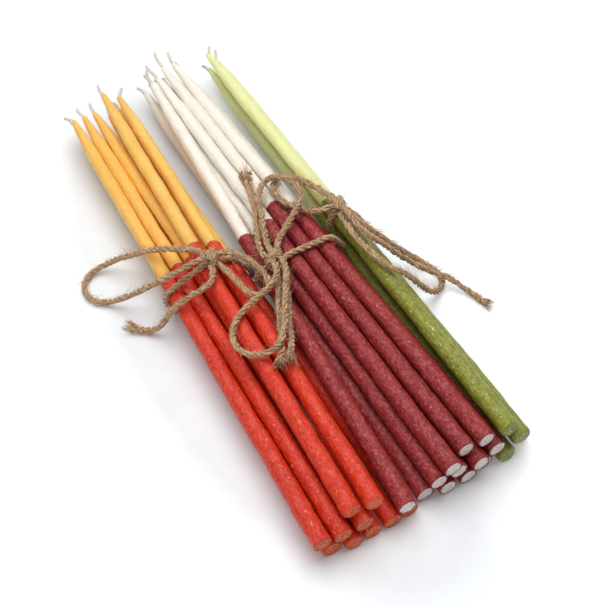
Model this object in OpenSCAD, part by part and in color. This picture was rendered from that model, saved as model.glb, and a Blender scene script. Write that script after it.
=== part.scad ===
// Three bundles of slim dipped taper candles, each tied round with jute twine in a bow.
// The candles lie along Y on the plane Z = 0, butts towards -Y and wicks towards +Y.
// The burgundy bundle lies in the middle, the orange one on its left, the green one on its right.

/* [Candle] */
// Diameter over the coloured overdip at the butt
butt_d = 6.4; // [5.8:0.1:7.4]
// Length of the wax from butt to tip
wax_len = 198; // [190:1:210]
// Length of the straight butt that fits a holder
straight_len = 16; // [10:1:24]
// Length of the pointed tip
tip_len = 26; // [20:1:32]
// Diameter of the pale wax where the tip begins
shoulder_d = 4.2; // [3.8:0.1:4.8]
// Diameter of the wax at the very tip
tip_d = 2; // [1.8:0.1:2.6]
// Thickness of the coloured overdip
dip_t = 0.2; // [0.15:0.05:0.35]
// Length of the coloured overdip from the butt
dip_len = 119; // [116:1:128]
// Bevel round the butts that were dipped whole
butt_edge = 0.4; // [0.2:0.1:0.8]
// Diameter of the wick
wick_d = 1.2; // [0.8:0.1:1.4]
// Length of wick that stands out of the tip
wick_reach = 8; // [4:0.5:12]
// Depth of wax between the butt and the foot of the wick
wick_floor = 3; // [1:0.5:8]
// Gap between the wax, the overdip and the wick
fit_gap = 0.04; // [0.02:0.01:0.06]

/* [Bundles] */
// Gap between neighbouring butts of the orange bundle
orange_butt_gap = 0.8; // [0.6:0.1:1.4]
// Gap between neighbouring butts of the burgundy and green bundles
burgundy_butt_gap = 1.3; // [1:0.1:1.8]
// Gap between a row of butts and the row that it lies on
row_gap = 0.9; // [0.8:0.1:1.4]
// Gap between neighbouring candles at their shoulders
candle_gap = 0.2; // [0.2:0.05:0.6]
// Gap between the butts of the orange and the burgundy bundle
bundle_gap = 0.7; // [0.5:0.1:1.5]
// How far the burgundy shoulders lean to the left of their butts
burgundy_lean = 1.5; // [0:0.1:2]

/* [Twine] */
// Diameter of the jute twine
twine_d = 2.3; // [1.8:0.1:2.6]
// Gap between a tie, its candles and the floor
twine_gap = 0.2; // [0.15:0.05:0.3]
// Distance of the orange tie from the butts
orange_tie_s = 110; // [104:1:116]
// Distance of the burgundy tie from the butts
burgundy_tie_s = 101; // [96:1:106]
// Distance of the green tie from the butts
green_tie_s = 110; // [104:1:116]
// Diameter of a knot
knot_d = 6.4; // [6:0.1:8]
// Length of a knot across the bundle
knot_len = 5.5; // [5:0.5:7]
// Where the orange knot sits across the part
orange_knot_x = -21.5; // [-23:0.5:-20]
// Where the burgundy knot sits across the part
burgundy_knot_x = -1.5; // [-3:0.5:0]
// Where the green knot sits across the part
green_knot_x = 28.5; // [28:0.5:29.5]

/* [Hidden] */
$fn = 48;

ORANGE = 0;
BURGUNDY = 1;
GREEN = 2;
BUNDLES = [ORANGE, BURGUNDY, GREEN];

apricot = [0.99, 0.74, 0.38];
orange_red = [0.91, 0.32, 0.2];
ivory = [0.94, 0.9, 0.86];
burgundy = [0.6, 0.2, 0.25];
pale_lime = [0.93, 0.93, 0.67];
olive = [0.55, 0.6, 0.27];
jute = [0.69, 0.55, 0.39];
cotton = [0.9, 0.84, 0.7];

// Places in a bundle: column and row at the butt, column and row at the shoulder,
// how far the candle is drawn back along itself, and how much further its overdip reaches.
orange_left_place = [1.1, 2, 2.4, 2.4, 3.6, 0];
orange_right_place = [2.2, 2, 3.7, 1.6, 3, 0];
orange_places = [
    [0, 0, 0, 0, 1.6, 0],
    [1, 0, 1, 0, 0.2, 2],
    [2, 0, 2, 0, 1, -1],
    [3, 0, 3, 0, 1.2, 1],
    [3.96, 0, 4, 0, 2.2, 0],
    [-0.5, 1, -0.3, 1.1, 1.2, -2],
    [0.5, 1, 0.65, 1.1, 0.8, 1],
    [1.6, 1, 1.65, 1.05, 1.3, 2]
];
burgundy_left_place = [1, 2, 1, 2, 2.3, -1];
burgundy_middle_place = [2, 2, 2, 2, 6.6, 1];
burgundy_right_place = [3, 2, 3, 2, 6.6, -3];
burgundy_places = [
    [0, 0, 0, 0, 5, 0],
    [1, 0, 1, 0, 3.7, 0],
    [2, 0, 2, 0, 4.1, 1],
    [3, 0, 3, 0, 6.2, 0],
    [-1.28, 1.1, -0.1, 2, 0, 1],
    [0.5, 1, 0.5, 1, 3.5, -2],
    [1.5, 1, 1.5, 1, 4, 0],
    [2.5, 1, 2.5, 1, 3.1, 2],
    [3.5, 1, 3.5, 1, 5.4, -1]
];
green_upper_place = [4.1, 2.05, 4, 1.95, 6, -6];
green_lower_place = [4.7, 1.1, 4.55, 1.05, 5, 0];
green_places = [
    [4, 0, 4, 0, 4.8, 1],
    [5, 0, 5, 0, 8.5, -1]
];
PLACES = [
    concat(orange_places, [orange_left_place, orange_right_place]),
    concat(burgundy_places, [burgundy_left_place, burgundy_middle_place, burgundy_right_place]),
    concat(green_places, [green_upper_place, green_lower_place])
];
orange_last_col = 4;

// Sizes that follow from the driving ones.
shoulder_s = wax_len - tip_len;
wick_bore_r = wick_d / 2 + fit_gap;
tip_steps = 5;
twine_r = twine_d / 2;
tie_room = twine_d + 3 * twine_gap;
TIE_S = [orange_tie_s, burgundy_tie_s, green_tie_s];
KNOT_X = [orange_knot_x, burgundy_knot_x, green_knot_x];

// Radius of the pale wax and of the overdip at a length from the butt.
function core_r(s) =
    s < straight_len ? butt_d / 2 - dip_t
    : s < shoulder_s ? butt_d / 2 - dip_t
        - (butt_d / 2 - dip_t - shoulder_d / 2) * (s - straight_len) / (shoulder_s - straight_len)
    : tip_d / 2 + (shoulder_d - tip_d) / 2 * (1 - pow((s - shoulder_s) / tip_len, 1.7));
function skin_r(s) = core_r(s) + dip_t;

// Columns and rows: pitch across, rise from row to row, and where column 0 starts.
orange_pitch = butt_d + orange_butt_gap;
burgundy_pitch = butt_d + burgundy_butt_gap;
tip_pitch = shoulder_d + 2 * dip_t + candle_gap;
orange_parting = 2.25 * tie_room;
green_parting = 2.8 * tie_room;
BUTT_PITCH = [orange_pitch, burgundy_pitch, burgundy_pitch];
BUTT_X = [-(butt_d + bundle_gap) - orange_last_col * orange_pitch, 0, 0];
TIP_X = [
    -burgundy_lean - orange_parting - (orange_last_col + 1) * tip_pitch,
    -burgundy_lean,
    -burgundy_lean + green_parting
];
function rise(pitch, near) = sqrt(near * near - pitch * pitch / 4);
BUTT_RISE = [for (b = BUNDLES) rise(BUTT_PITCH[b], butt_d + row_gap)];
tip_rise = rise(tip_pitch, tip_pitch);

// Slope that lifts the lowest row just over its own tie.
LIFT = [for (b = BUNDLES) (skin_r(TIE_S[b]) + twine_d + 2 * twine_gap - butt_d / 2) / TIE_S[b]];

// A candle's butt and shoulder before the part is centred, and its direction.
function butt_at(b, p) = [BUTT_X[b] + BUTT_PITCH[b] * p[0], 0, butt_d / 2 + BUTT_RISE[b] * p[1]];
function shoulder_at(b, p) = [
    TIP_X[b] + tip_pitch * p[2],
    shoulder_s,
    butt_d / 2 + LIFT[b] * shoulder_s + tip_rise * p[3]
];
function along(b, p) = let (d = shoulder_at(b, p) - butt_at(b, p)) d / norm(d);

// The part is centred on the origin in X and Y.
left_x = min([for (b = BUNDLES, p = PLACES[b]) butt_at(b, p)[0]]) - butt_d / 2;
right_x = max([for (b = BUNDLES, p = PLACES[b]) butt_at(b, p)[0]]) + butt_d / 2;
far_y = max([for (b = BUNDLES, p = PLACES[b]) along(b, p)[1] * (p[4] + wax_len + wick_reach)]);
centre = [(left_x + right_x) / 2, far_y / 2, 0];
function foot(b, p) = butt_at(b, p) + along(b, p) * p[4] - centre;

// Cross-sections of a bundle's candles in the plane of its tie: X, Z and radius.
TIE_Y = [for (b = BUNDLES) TIE_S[b] - centre[1]];
function sections(b) = [
    for (p = PLACES[b])
        let (u = along(b, p), s = (TIE_Y[b] - foot(b, p)[1]) / u[1], c = foot(b, p) + u * s)
            [c[0], c[2], skin_r(s)]
];

// Twine drawn tight round those sections: the farthest section each way, and a gap.
function reach_of(c, n) = c[0] * n[0] + c[1] * n[1] + c[2];
function farthest(list, n, i = 0, best = 0) =
    i == len(list) ? best
    : farthest(list, n, i + 1, reach_of(list[i], n) > reach_of(list[best], n) ? i : best);
function held_at(list, a) = farthest(list, [cos(a), sin(a)]);
function tight(list, a) =
    let (c = list[held_at(list, a)], r = c[2] + twine_gap + twine_r)
        [c[0] + r * cos(a), c[1] + r * sin(a)];

// Points on the tight path, clockwise from an angle: every coarse step, and both ends of each
// stretch that lies on one candle.
fine_step = 2.5;
fine_count = 360 / fine_step;
coarse_count = 6;
function tight_ring(list, from) = [
    for (k = [0:fine_count - 1])
        let (a = from - k * fine_step, here = held_at(list, a))
            if (k % coarse_count == 0 || held_at(list, a + fine_step) != here
                || held_at(list, a - fine_step) != here)
                tight(list, a)
];
SECTIONS = [for (b = BUNDLES) sections(b)];

// A knot lies along the tight path over its bundle, tilted with it.
knot_bite = 1;
function over_top(b) = [for (a = [170:-fine_step:10]) tight(SECTIONS[b], a)];
KNOT_SEAT = [for (b = BUNDLES) [KNOT_X[b], TIE_Y[b], lookup(KNOT_X[b], over_top(b))]];
KNOT_TILT = [
    for (b = BUNDLES)
        let (top = over_top(b))
            atan2(lookup(KNOT_X[b] + twine_r, top) - lookup(KNOT_X[b] - twine_r, top), twine_d)
];
function knot_along(b) = [cos(KNOT_TILT[b]), 0, sin(KNOT_TILT[b])];
function knot_up(b) = [-sin(KNOT_TILT[b]), 0, cos(KNOT_TILT[b])];
KNOT_AT = [for (b = BUNDLES) KNOT_SEAT[b] + knot_up(b) * (knot_d / 2 - twine_r)];

// The tie leaves one end of the knot, goes once round the bundle and enters the other end.
function tie_route(b) =
    let (
        inner = knot_along(b) * (knot_len / 2 - knot_bite),
        outer = inner + knot_along(b) * twine_d,
        ring = tight_ring(SECTIONS[b], 90 + KNOT_TILT[b]),
        steps = [for (p = ring) [p[0], TIE_Y[b], p[1]] - KNOT_SEAT[b]],
        round = [for (p = steps) if (norm(p) > norm(outer) + twine_r) p]
    )
    [for (p = concat([inner, outer], round, [-outer, -inner])) KNOT_SEAT[b] + p];

// Routes of the loops and tails, in millimetres from the origin.
orange_left_loop_route = [
    [-22.4, 4.7, 22.2], [-23.2, 7.4, 22], [-25.5, 10.5, 21.2], [-29, 14, 19.8], [-33, 18, 17.8],
    [-36.8, 22, 14.8], [-40.4, 26, 10.6], [-44, 30, 6.4], [-48.5, 32.5, 3], [-53.5, 32.5, 1.6],
    [-57.5, 29.5, 1.4], [-59, 25, 1.4], [-57.5, 20.5, 1.4], [-53.5, 17.5, 2], [-49.5, 14.5, 5],
    [-46, 11.5, 9], [-42.5, 8.5, 13.5], [-39, 6, 17.2], [-34.5, 4, 20.6], [-30, 3, 22.9],
    [-26.6, 2.7, 23.8], [-23.4, 2.6, 23.9]
];
orange_right_loop_route = [
    [-19.5, 2.8, 23.3], [-16.6, 2.4, 23.1], [-13.8, 0.8, 22.5], [-11.2, -1.8, 21.7], [-9.2, -5, 20.7],
    [-8, -8.4, 19.6], [-7.8, -11.8, 18.8], [-9.2, -15.2, 18.4], [-12.6, -16.6, 18.7], [-16, -15.2, 19.8],
    [-17.4, -11.8, 20.5], [-18, -8.4, 21], [-18.6, -5.2, 21.3], [-19.4, -2.2, 21.5], [-20, 0.4, 21.6]
];
orange_tail_route = [
    [-22.8, 0.4, 21.6], [-23, -1.6, 21.6], [-24.2, -4, 21.3], [-26.4, -5.6, 20.8], [-29.2, -6, 19.9],
    [-32.2, -5.6, 18.5], [-35.2, -5, 16.8], [-38, -4.4, 14.7], [-40.2, -3.8, 12], [-41.8, -3.2, 8.9],
    [-43.2, -2.5, 5.8], [-45, -1.5, 3.2], [-47.2, 0, 1.7], [-49.6, 2, 1.4], [-51.6, 4.2, 1.4]
];
burgundy_upper_loop_route = [
    [-1.8, -4, 20.9], [-1.6, -1, 21.2], [-0.6, 3, 21.6], [1, 7.5, 21.9], [2.8, 12, 22],
    [4.5, 16.5, 22.1], [6.5, 20.5, 22.2], [9.5, 23.8, 22.2], [13.5, 25, 22.2], [17.2, 23, 22.2],
    [19.2, 19, 22.3], [19, 14.5, 22.5], [16.8, 10.5, 22.5], [13.4, 7.5, 22.2], [9.8, 5, 21.8],
    [6.4, 2.6, 21.3], [3.4, 0.4, 21.1], [1.4, -1.8, 20.9], [0.7, -4, 20.8]
];
burgundy_lower_loop_route = [
    [-3.4, -7.8, 21.5], [-3.8, -10.5, 21.8], [-5.5, -14, 22], [-9, -16.8, 21.9], [-13.5, -18.5, 21.6],
    [-18.5, -20, 21.3], [-23, -22, 21], [-27, -25, 20.8], [-29.7, -29, 20.7], [-30.5, -33.5, 20.7],
    [-28.8, -37.8, 20.9], [-25, -40.5, 21.6], [-20.5, -41, 22.6], [-16.5, -38.5, 23],
    [-13.5, -34.5, 22.8], [-11, -30, 22.3], [-8.5, -25.5, 21.9], [-5.5, -20.5, 21.7],
    [-2.8, -16, 21.7], [-0.9, -12, 21.6], [-0.4, -7.8, 21.5]
];
burgundy_upper_tail_route = [
    [-4.2, -4, 19.6], [-4.4, -1.6, 19.8], [-4, 1, 19.9], [-3, 4, 19.9], [-1.6, 7, 19.8],
    [-0.2, 10, 19.6], [1.2, 13, 19.5], [2.4, 15.8, 19.4], [3.4, 18.5, 19.3], [4.2, 21.2, 19.3],
    [5, 24, 19.2], [5.6, 26.5, 19.2], [6.2, 29, 19.1], [6.8, 31, 19.1], [7.5, 33, 19.1]
];
burgundy_tail_left_route = [
    [-3.3, -8.6, 18.6], [-3.5, -10.8, 18.5], [-4.4, -13.2, 18.3], [-5.8, -16, 18], [-7.4, -19, 17.7],
    [-9, -22, 17.5], [-10.4, -25, 17.4], [-11.8, -28, 17.5], [-13.2, -31, 17.9], [-14.6, -34, 18.6],
    [-16, -37, 19.5], [-17.4, -39.6, 20.2], [-18.6, -41.8, 20.5], [-19.8, -43.8, 20.5], [-21, -45.6, 20.5]
];
burgundy_tail_right_route = [
    [-0.4, -8.6, 18.9], [-0.5, -10.8, 18.8], [-1.2, -13.2, 18.6], [-2.4, -16, 18.2], [-4, -19, 17.7],
    [-5.4, -22, 17.3], [-6.8, -25, 17.1], [-8.2, -28, 17], [-9.6, -31, 17.2], [-11, -34, 17.6],
    [-12.4, -37, 18.4], [-13.8, -39.6, 19.3], [-15, -41.8, 20.1], [-16.2, -43.8, 20.5], [-17.4, -45.6, 20.6]
];
green_left_loop_route = [
    [27.8, 4.7, 21.6], [27.6, 7.6, 21.3], [27, 11, 20.8], [26, 15, 20.2], [24.6, 19, 19.6],
    [22.4, 23, 19.3], [18.8, 25.6, 19.2], [14.8, 25, 19.2], [12.6, 21.8, 19.2], [12.6, 18, 19.3],
    [13.8, 14.4, 19.4], [15.8, 11, 19.5], [18, 7.8, 19.9], [20.4, 5.2, 20.9], [23.2, 3.5, 22.1],
    [26.6, 2.8, 22.7]
];
green_right_loop_route = [
    [30, 0.4, 20.9], [30.2, -2, 21], [31, -5.5, 20.9], [32.8, -9, 20], [35.2, -12, 17.8],
    [38, -14.2, 14.6], [41, -15.6, 11], [44.2, -16.8, 7.4], [47.4, -18.2, 4.2], [50.2, -20.8, 2],
    [51.8, -24.4, 1.4], [51.6, -28.4, 1.4], [49.4, -31.6, 1.6], [46, -33.2, 3.2], [43, -33.8, 6],
    [40.4, -34, 9.6], [38, -33.8, 13.4], [35.6, -33, 16.8], [32.8, -31, 19.3], [30.2, -28, 20.3],
    [28.6, -24, 20.5], [27.6, -19.5, 20.6], [26.8, -15, 20.8], [26.4, -10.5, 20.9], [26.6, -6, 20.9],
    [26.9, -2, 20.9], [27, 0.4, 20.9]
];
green_tail_route = [
    [28.5, 0.8, 23.2], [28.5, -2.2, 23.1], [28.8, -6, 22.4], [29.8, -10, 21.6], [31.6, -13.5, 20.3],
    [34.4, -16.4, 17.8], [37.6, -18.6, 14.4], [40.8, -20.4, 10.8], [44, -22.4, 7.8], [47.2, -24.8, 5.6],
    [50, -27.4, 4.5], [52.6, -30.4, 4], [54.8, -33.8, 2.8], [56.8, -37.6, 1.7], [58.4, -41.4, 1.4],
    [59.6, -45, 1.4]
];

// A tube swept along a route, with its rings set square to the way it runs.
wrap_sides = 6;
cord_sides = 8;
function heading(r, i) =
    let (d = r[min(i + 1, len(r) - 1)] - r[max(i - 1, 0)]) d / norm(d);
function ring_at(r, i, sides, flat) =
    let (t = heading(r, i), c = cross(t, flat), side = c / norm(c), up = cross(side, t))
        [for (k = [0:sides - 1]) r[i] + twine_r * (side * cos(360 * k / sides) + up * sin(360 * k / sides))];
module tube(route, sides, flat) {
    n = len(route);
    points = [for (i = [0:n - 1]) each ring_at(route, i, sides, flat)];
    walls = [
        for (i = [0:n - 2], k = [0:sides - 1])
            let (a = i * sides + k, b = i * sides + (k + 1) % sides)
                each [[a, b, b + sides], [a, b + sides, a + sides]]
    ];
    first_end = [for (k = [1:sides - 2]) [0, k + 1, k]];
    last = (n - 1) * sides;
    last_end = [for (k = [1:sides - 2]) [last, last + k, last + k + 1]];
    polyhedron(points, concat(walls, first_end, last_end), convexity = 10);
}

// Least gap of a tie to itself, between points more than a few twine widths apart along it.
apart = 4 * twine_d;
function run(r, i) = i == 0 ? 0 : run(r, i - 1) + norm(r[i] - r[i - 1]);
function self_gap(r) =
    let (s = [for (i = [0:len(r) - 1]) run(r, i)])
        min([for (i = [0:len(r) - 1], j = [i:len(r) - 1]) if (s[j] - s[i] > apart) norm(r[i] - r[j])])
        - twine_d;
echo(orange_wrap_gap = self_gap(tie_route(ORANGE)));
echo(burgundy_wrap_gap = self_gap(tie_route(BURGUNDY)));
echo(green_wrap_gap = self_gap(tie_route(GREEN)));

// Sets a piece drawn along +Z on a candle's axis, with its zero at the butt.
module on_candle(b, p) {
    u = along(b, p);
    translate(foot(b, p)) rotate([0, acos(u[2]), atan2(u[1], u[0])]) children();
}

// Pale wax body with a blind bore for the wick; a coated butt has a bevelled edge.
module wax_body(coated) {
    edge = coated ? butt_edge : 0;
    tip = [for (k = [0:tip_steps]) shoulder_s + tip_len * k / tip_steps];
    rotate_extrude()
        polygon(concat(
            [[0, 0], [core_r(0) - edge, 0]],
            coated ? [[core_r(0), edge]] : [],
            [[core_r(0), straight_len]],
            [for (s = tip) [core_r(s), s]],
            [[wick_bore_r, wax_len], [wick_bore_r, wick_floor], [0, wick_floor]]
        ));
}

// Coloured skin: an open tube on a cut butt, closed over the end on a coated one.
module overdip(reach, coated) {
    edge = coated ? butt_edge : 0;
    outside = [[skin_r(0), edge], [skin_r(0), straight_len], [skin_r(reach), reach]];
    inside = [
        [core_r(reach) + fit_gap, reach],
        [core_r(0) + fit_gap, straight_len],
        [core_r(0) + fit_gap, edge]
    ];
    under = [[core_r(0) - edge, -fit_gap], [0, -fit_gap], [0, -dip_t], [core_r(0) - edge, -dip_t]];
    rotate_extrude()
        polygon(concat(outside, inside, coated ? under : []));
}

module wick() {
    translate([0, 0, wick_floor + fit_gap])
        cylinder(d = wick_d, h = wax_len + wick_reach - wick_floor - fit_gap);
}

// The three pieces of every candle in a list of places.
module wax_bodies(b, places, coated) {
    for (p = places)
        on_candle(b, p) wax_body(coated);
}
module overdips(b, places, coated) {
    for (p = places)
        on_candle(b, p) overdip(dip_len + p[5], coated);
}
module wicks(b, places) {
    for (p = places)
        on_candle(b, p) wick();
}

// Orange candles.
module orange_bundle_wax() { color(apricot) wax_bodies(ORANGE, orange_places, false); }
module orange_bundle_dip() { color(orange_red) overdips(ORANGE, orange_places, false); }
module orange_bundle_wick() { color(cotton) wicks(ORANGE, orange_places); }
module orange_left_wax() { color(apricot) wax_bodies(ORANGE, [orange_left_place], true); }
module orange_left_dip() { color(orange_red) overdips(ORANGE, [orange_left_place], true); }
module orange_left_wick() { color(cotton) wicks(ORANGE, [orange_left_place]); }
module orange_right_wax() { color(apricot) wax_bodies(ORANGE, [orange_right_place], true); }
module orange_right_dip() { color(orange_red) overdips(ORANGE, [orange_right_place], true); }
module orange_right_wick() { color(cotton) wicks(ORANGE, [orange_right_place]); }

// Burgundy candles.
module burgundy_bundle_wax() { color(ivory) wax_bodies(BURGUNDY, burgundy_places, false); }
module burgundy_bundle_dip() { color(burgundy) overdips(BURGUNDY, burgundy_places, false); }
module burgundy_bundle_wick() { color(cotton) wicks(BURGUNDY, burgundy_places); }
module burgundy_left_wax() { color(ivory) wax_bodies(BURGUNDY, [burgundy_left_place], false); }
module burgundy_left_dip() { color(burgundy) overdips(BURGUNDY, [burgundy_left_place], false); }
module burgundy_left_wick() { color(cotton) wicks(BURGUNDY, [burgundy_left_place]); }
module burgundy_middle_wax() { color(ivory) wax_bodies(BURGUNDY, [burgundy_middle_place], false); }
module burgundy_middle_dip() { color(burgundy) overdips(BURGUNDY, [burgundy_middle_place], false); }
module burgundy_middle_wick() { color(cotton) wicks(BURGUNDY, [burgundy_middle_place]); }
module burgundy_right_wax() { color(ivory) wax_bodies(BURGUNDY, [burgundy_right_place], false); }
module burgundy_right_dip() { color(burgundy) overdips(BURGUNDY, [burgundy_right_place], false); }
module burgundy_right_wick() { color(cotton) wicks(BURGUNDY, [burgundy_right_place]); }

// Green candles.
module green_bundle_wax() { color(pale_lime) wax_bodies(GREEN, green_places, true); }
module green_bundle_dip() { color(olive) overdips(GREEN, green_places, true); }
module green_bundle_wick() { color(cotton) wicks(GREEN, green_places); }
module green_upper_wax() { color(pale_lime) wax_bodies(GREEN, [green_upper_place], true); }
module green_upper_dip() { color(olive) overdips(GREEN, [green_upper_place], true); }
module green_upper_wick() { color(cotton) wicks(GREEN, [green_upper_place]); }
module green_lower_wax() { color(pale_lime) wax_bodies(GREEN, [green_lower_place], true); }
module green_lower_dip() { color(olive) overdips(GREEN, [green_lower_place], true); }
module green_lower_wick() { color(cotton) wicks(GREEN, [green_lower_place]); }

// Ties, knots, loops and tails of twine.
module tie(b) {
    color(jute) tube(tie_route(b), wrap_sides, [0, 1, 0]);
}
module knot(b) {
    end_r = twine_d * 1.15;
    color(jute)
        translate(KNOT_AT[b]) rotate([0, 90 - KNOT_TILT[b], 0])
            rotate_extrude()
                polygon([
                    [0, -knot_len / 2], [end_r, -knot_len / 2],
                    [knot_d / 2, -knot_len / 4], [knot_d / 2, knot_len / 4],
                    [end_r, knot_len / 2], [0, knot_len / 2]
                ]);
}
module cord(route) {
    color(jute) tube(route, cord_sides, [0, 0, 1]);
}
module orange_wrap() { tie(ORANGE); }
module orange_knot() { knot(ORANGE); }
module orange_left_loop() { cord(orange_left_loop_route); }
module orange_right_loop() { cord(orange_right_loop_route); }
module orange_tail() { cord(orange_tail_route); }
module burgundy_wrap() { tie(BURGUNDY); }
module burgundy_knot() { knot(BURGUNDY); }
module burgundy_upper_loop() { cord(burgundy_upper_loop_route); }
module burgundy_lower_loop() { cord(burgundy_lower_loop_route); }
module burgundy_upper_tail() { cord(burgundy_upper_tail_route); }
module burgundy_tail_left() { cord(burgundy_tail_left_route); }
module burgundy_tail_right() { cord(burgundy_tail_right_route); }
module green_wrap() { tie(GREEN); }
module green_knot() { knot(GREEN); }
module green_left_loop() { cord(green_left_loop_route); }
module green_right_loop() { cord(green_right_loop_route); }
module green_tail() { cord(green_tail_route); }

orange_bundle_wax();
orange_bundle_dip();
orange_bundle_wick();
orange_left_wax();
orange_left_dip();
orange_left_wick();
orange_right_wax();
orange_right_dip();
orange_right_wick();
burgundy_bundle_wax();
burgundy_bundle_dip();
burgundy_bundle_wick();
burgundy_left_wax();
burgundy_left_dip();
burgundy_left_wick();
burgundy_middle_wax();
burgundy_middle_dip();
burgundy_middle_wick();
burgundy_right_wax();
burgundy_right_dip();
burgundy_right_wick();
green_bundle_wax();
green_bundle_dip();
green_bundle_wick();
green_upper_wax();
green_upper_dip();
green_upper_wick();
green_lower_wax();
green_lower_dip();
green_lower_wick();
orange_wrap();
orange_knot();
orange_left_loop();
orange_right_loop();
orange_tail();
burgundy_wrap();
burgundy_knot();
burgundy_upper_loop();
burgundy_lower_loop();
burgundy_upper_tail();
burgundy_tail_left();
burgundy_tail_right();
green_wrap();
green_knot();
green_left_loop();
green_right_loop();
green_tail();
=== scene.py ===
"""Three bundles of slim dipped taper candles, each tied round with jute twine in a bow, on a white floor.

Sizes are in millimetres until a mesh is made. A candle's axis and the reach of its overdip are read from
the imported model, and the routes of the free twine repeat those of the part's source.
"""

import math

import bmesh
import bpy
import numpy as np
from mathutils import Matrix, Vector


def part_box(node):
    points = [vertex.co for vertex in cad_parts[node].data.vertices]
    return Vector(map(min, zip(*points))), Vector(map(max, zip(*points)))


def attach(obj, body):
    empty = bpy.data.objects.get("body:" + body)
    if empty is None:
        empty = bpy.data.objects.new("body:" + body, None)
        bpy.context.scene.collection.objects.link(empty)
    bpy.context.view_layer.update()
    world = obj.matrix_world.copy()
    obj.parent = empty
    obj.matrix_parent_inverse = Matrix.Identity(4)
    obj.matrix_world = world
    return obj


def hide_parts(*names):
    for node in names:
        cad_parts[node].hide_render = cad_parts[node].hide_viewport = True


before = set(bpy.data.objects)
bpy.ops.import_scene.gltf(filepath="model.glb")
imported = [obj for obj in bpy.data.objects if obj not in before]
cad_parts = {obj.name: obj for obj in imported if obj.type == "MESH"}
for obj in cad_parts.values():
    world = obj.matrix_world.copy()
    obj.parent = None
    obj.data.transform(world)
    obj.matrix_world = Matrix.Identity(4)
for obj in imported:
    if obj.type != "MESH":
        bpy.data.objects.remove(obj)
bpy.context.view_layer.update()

MM = 0.001
UP = np.array([0.0, 0.0, 1.0])
RIGHT = np.array([1.0, 0.0, 0.0])
TO_BUTTS = np.array([0.0, -1.0, 0.0])
FULL_TURN = 2 * math.pi
SEED = 11
CORD_SEED = 100
TIE_SEED = 200

# Candle sizes, as in the part's source.
BUTT_R = 3.2
DIP_T = 0.2
WAX_LEN = 198.0
STRAIGHT_LEN = 16.0
TIP_LEN = 26.0
TIP_ROUND = 1.7
SHOULDER_S = WAX_LEN - TIP_LEN
SHOULDER_R = 2.1
TIP_R = 1.0

# Twine sizes. Three plies are laid right-handed.
TWINE_D = 2.3
TWINE_R = TWINE_D / 2
TWINE_GAP = 0.2
PLIES = 3
PLY_R = 0.56
LAY_R = TWINE_R - PLY_R
LAY_PITCH = 7.0

# Groups of candles: CAD nodes with this name and _wax, _dip, _wick ride on the body of this name.
GROUPS = {
    "orange": ["orange_bundle", "orange_left", "orange_right"],
    "burgundy": ["burgundy_bundle", "burgundy_left", "burgundy_middle", "burgundy_right"],
    "green": ["green_bundle", "green_upper", "green_lower"],
}
# Groups in the brightest tone of their wax, and groups whose butts are dipped over and not cut.
BRIGHT = {"orange_left", "orange_right"}
COATED = {"orange_left", "orange_right", "green_bundle", "green_upper", "green_lower"}

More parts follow.
